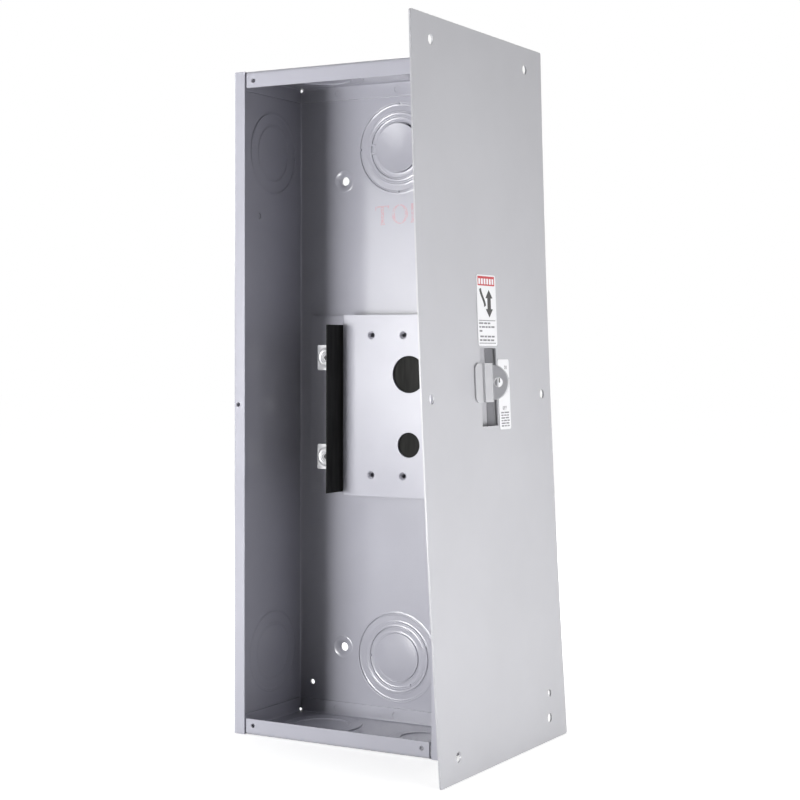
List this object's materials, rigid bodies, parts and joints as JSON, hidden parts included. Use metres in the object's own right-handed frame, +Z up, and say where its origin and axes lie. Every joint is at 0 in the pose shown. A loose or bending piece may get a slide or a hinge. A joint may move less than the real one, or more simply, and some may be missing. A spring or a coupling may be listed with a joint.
{
  "type": "circuit breaker enclosure",
  "caption": "Open sheet-steel breaker box with knockouts, mounting pan and ground lugs; its cover, with a sliding lockable handle, leans on its side.",
  "frame": {"origin": "centre of the box's bottom face, on the floor", "axes": "+Z up the box, -Y out of its open front, +X to the right, where the cover leans"},
  "size_m": [0.2013, 0.1846, 0.4736],
  "materials": {
    "box_paint": "satin lavender-grey paint",
    "pan_paint": "satin lavender-grey paint",
    "cover_paint": "satin grey paint",
    "handle_paint": "satin light grey paint",
    "black_fibre": "matt black vulcanised fibre",
    "lug_aluminium": "bright as extruded",
    "screw_steel": "zinc plated",
    "rivet_steel": "zinc plated",
    "label_film": "white printed film"
  },
  "bodies": {
    "enclosure": {"box_wrapper": "box_paint", "top_end_cap": "box_paint", "bottom_end_cap": "box_paint", "mounting_pan": "pan_paint", "rear_insulator": "black_fibre", "lug_barrier": "black_fibre", "barrier_rivets": "rivet_steel", "ground_lug_lower": "lug_aluminium", "ground_lug_upper": "lug_aluminium", "lug_screw_lower": "screw_steel", "lug_screw_upper": "screw_steel", "cover_plate": "cover_paint", "data_label": "label_film", "position_label": "label_film", "handle_guide": "cover_paint"},
    "handle": {"handle_base_plate": "handle_paint", "handle_tab": "handle_paint", "handle_spacer": "handle_paint", "handle_shutter": "cover_paint", "handle_fork": "rivet_steel", "handle_rivets": "rivet_steel"}
  },
  "joints": [
    {"name": "handle_slide", "type": "slide", "parent": "enclosure", "child": "handle", "axis": [-0.0492, 0, 0.9988], "range_m": [-0.01625, 0.01055]}
  ]
}
